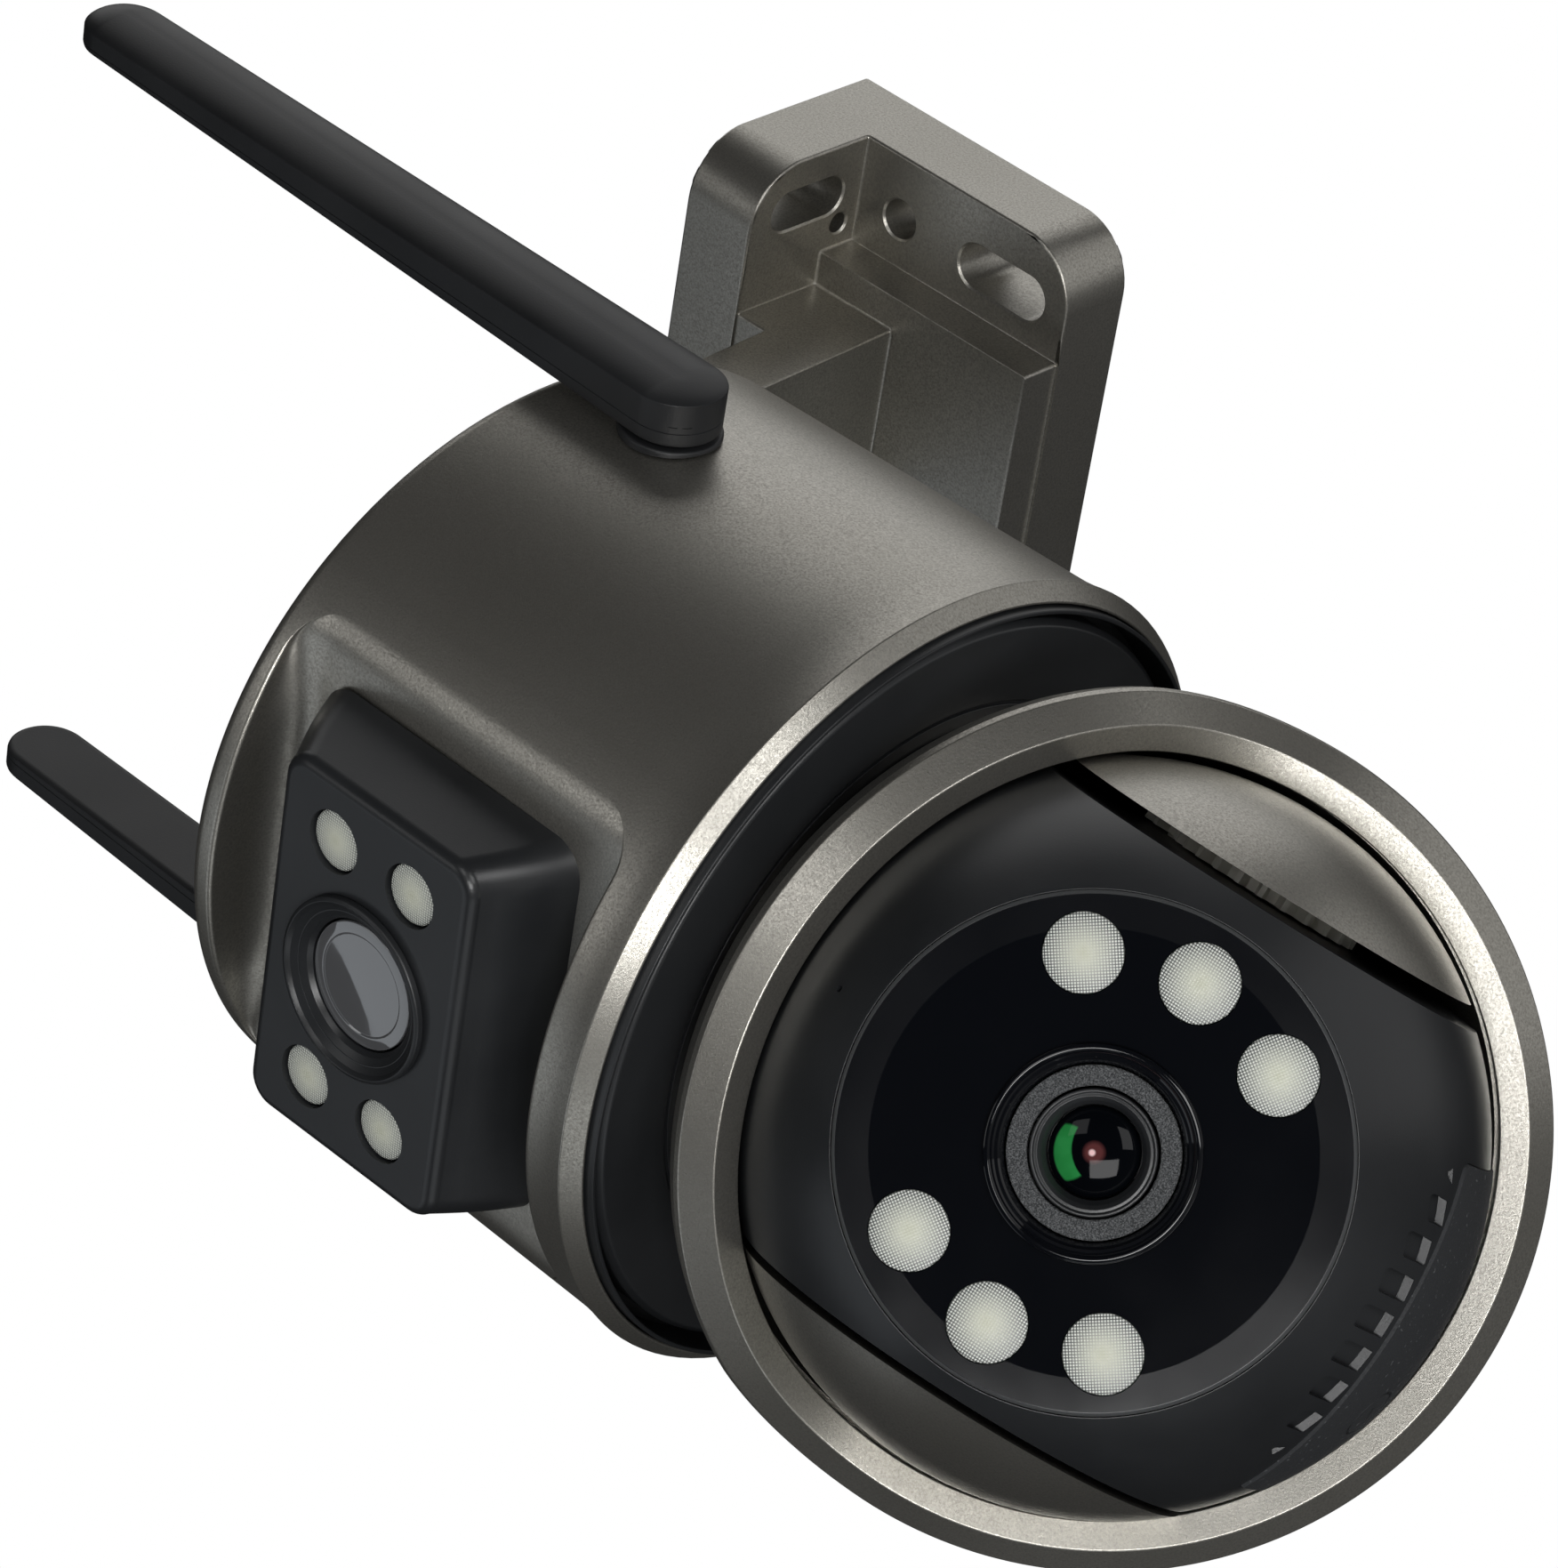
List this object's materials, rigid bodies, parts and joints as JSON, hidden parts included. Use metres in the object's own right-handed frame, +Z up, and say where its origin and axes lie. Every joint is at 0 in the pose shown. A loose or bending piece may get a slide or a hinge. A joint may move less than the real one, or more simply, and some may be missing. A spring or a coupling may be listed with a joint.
{
  "type": "two-lens security camera",
  "caption": "Outdoor security camera: a fixed lens module in a round body on a corner bracket, with a panning and tilting ball head below and swivelling antennas.",
  "frame": {"origin": "centre of the bracket's wall face", "axes": "+Y into the wall, +Z up, +X to the right as seen from in front; the fixed lens looks along -Y"},
  "size_m": [0.127, 0.1768, 0.2537],
  "materials": {
    "bronze": "satin bronze-grey metallic paint with fine grain",
    "black_satin": "satin black moulded plastic",
    "black_gloss": "polished black",
    "antenna_black": "matte black soft plastic",
    "rubber": "matte dark grey rubber",
    "foam": "dark grey open-cell foam",
    "led_lens": "cream lens with a fine waffle pattern",
    "clear_glass": "coated lens glass",
    "steel": "bright steel",
    "brass": "turned brass",
    "nylon": "natural white nylon",
    "circuit_board": "green solder mask",
    "alloy": "extruded aluminium"
  },
  "bodies": {
    "mount": {"wall_bracket": "bronze", "neck_gasket": "rubber", "neck_screw_1": "steel", "neck_screw_2": "steel", "neck_screw_3": "steel", "body_shell": "bronze", "base_cover": "black_satin", "cable_gland": "rubber", "pan_motor": "steel", "pan_bush": "brass", "main_board": "circuit_board", "heat_sink": "alloy", "module_housing": "black_satin", "module_lens_ring": "black_gloss", "module_lens_glass": "clear_glass", "module_lens_barrel": "black_satin", "module_sensor_board": "circuit_board", "module_led_lens_1": "led_lens", "module_led_lens_2": "led_lens", "module_led_lens_3": "led_lens", "module_led_lens_4": "led_lens", "antenna_right_base": "antenna_black", "antenna_left_base": "antenna_black"},
    "right_antenna": {"antenna_right": "antenna_black"},
    "left_antenna": {"antenna_left": "antenna_black"},
    "pan_drive": {"pan_pinion": "nylon"},
    "head": {"pan_drum": "black_satin", "pan_gear": "nylon", "pan_retainer": "steel", "head_bezel": "bronze", "head_rear_shell": "bronze", "side_cap_right": "bronze", "side_cap_left": "bronze", "tilt_bush_right": "brass", "tilt_bush_left": "brass", "tilt_gear": "nylon"},
    "eye": {"ball_shell": "black_satin", "card_flap": "rubber", "front_plate": "black_gloss", "head_led_lens_1": "led_lens", "head_led_lens_2": "led_lens", "head_led_lens_3": "led_lens", "head_led_lens_4": "led_lens", "head_led_lens_5": "led_lens", "head_led_lens_6": "led_lens", "lens_hood": "black_gloss", "lens_foam": "foam", "lens_barrel": "black_satin", "lens_glass": "clear_glass", "sensor_board": "circuit_board", "led_board": "circuit_board", "speaker": "black_satin", "tilt_motor": "steel"},
    "tilt_drive": {"tilt_pinion": "nylon"}
  },
  "joints": [
    {"name": "head_pan", "type": "hinge", "parent": "mount", "child": "head", "pos_m": [0, -0.1181, -0.101], "axis": [0, 0, 1], "range_deg": [-214.3, 140.7]},
    {"name": "ball_tilt", "type": "hinge", "parent": "head", "child": "eye", "pos_m": [0.00264, -0.12162, -0.1403], "axis": [0.8007, 0.599, 0], "range_deg": [-21.85, 58.15]},
    {"name": "right_antenna_swivel", "type": "hinge", "parent": "mount", "child": "right_antenna", "pos_m": [0.0587, -0.1178, -0.049], "axis": [1, 0, 0], "range_deg": [-95, 95]},
    {"name": "left_antenna_swivel", "type": "hinge", "parent": "mount", "child": "left_antenna", "pos_m": [-0.0587, -0.1178, -0.049], "axis": [1, 0, 0], "range_deg": [-95, 95]},
    {"name": "pan_pinion_spin", "type": "hinge", "parent": "mount", "child": "pan_drive", "pos_m": [-0.036, -0.1181, -0.09], "axis": [0, 0, 1], "range_deg": [-704, 1072]},
    {"name": "tilt_pinion_spin", "type": "hinge", "parent": "eye", "child": "tilt_drive", "pos_m": [-0.00054, -0.11738, -0.12415], "axis": [0.8007, 0.599, 0], "range_deg": [-53, 140]}
  ],
  "couplings": [
    {"joint": "pan_pinion_spin", "follows": "head_pan", "ratio": -5},
    {"joint": "tilt_pinion_spin", "follows": "ball_tilt", "ratio": 2.4}
  ]
}
